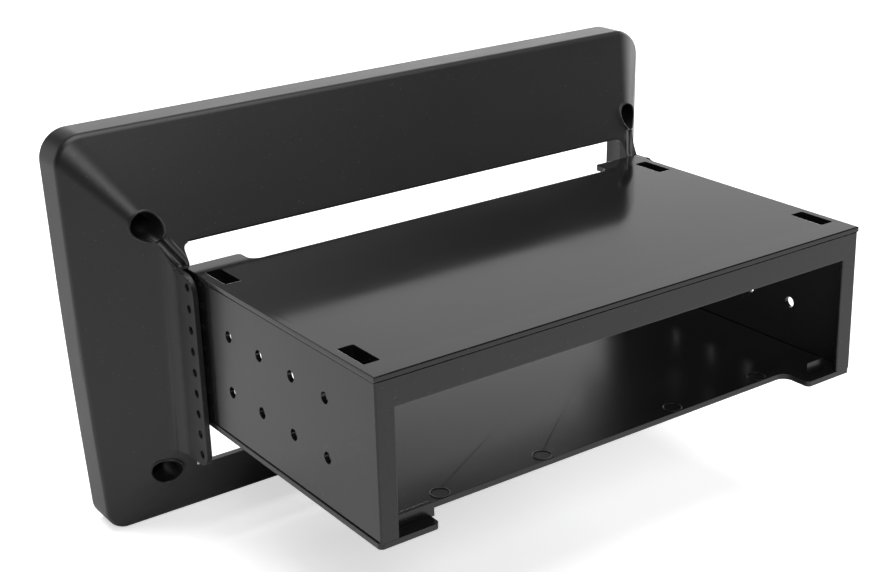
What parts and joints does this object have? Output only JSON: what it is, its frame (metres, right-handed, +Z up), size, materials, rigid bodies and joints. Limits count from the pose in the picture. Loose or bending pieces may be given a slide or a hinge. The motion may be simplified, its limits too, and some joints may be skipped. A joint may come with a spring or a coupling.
{
  "type": "car stereo bezel",
  "caption": "Flared surround for a large dash screen with side flanges that carry an open single-bay box for the unit behind it.",
  "frame": {"origin": "middle of the overall width and depth, at the level of the rim's lower edge", "axes": "+X across the width, +Y from the screen opening towards the open rear of the box, +Z up"},
  "size_m": [0.234, 0.1456, 0.1356],
  "materials": {
    "bezel_plastic": "satin black moulded plastic with a very fine grain",
    "box_plastic": "semi-gloss black moulded plastic with faint flow marks"
  },
  "bodies": {
    "root": {"bezel_shell": "bezel_plastic", "box_body": "box_plastic", "box_top_plate": "box_plastic", "box_bottom_plate": "box_plastic"}
  },
  "joints": []
}
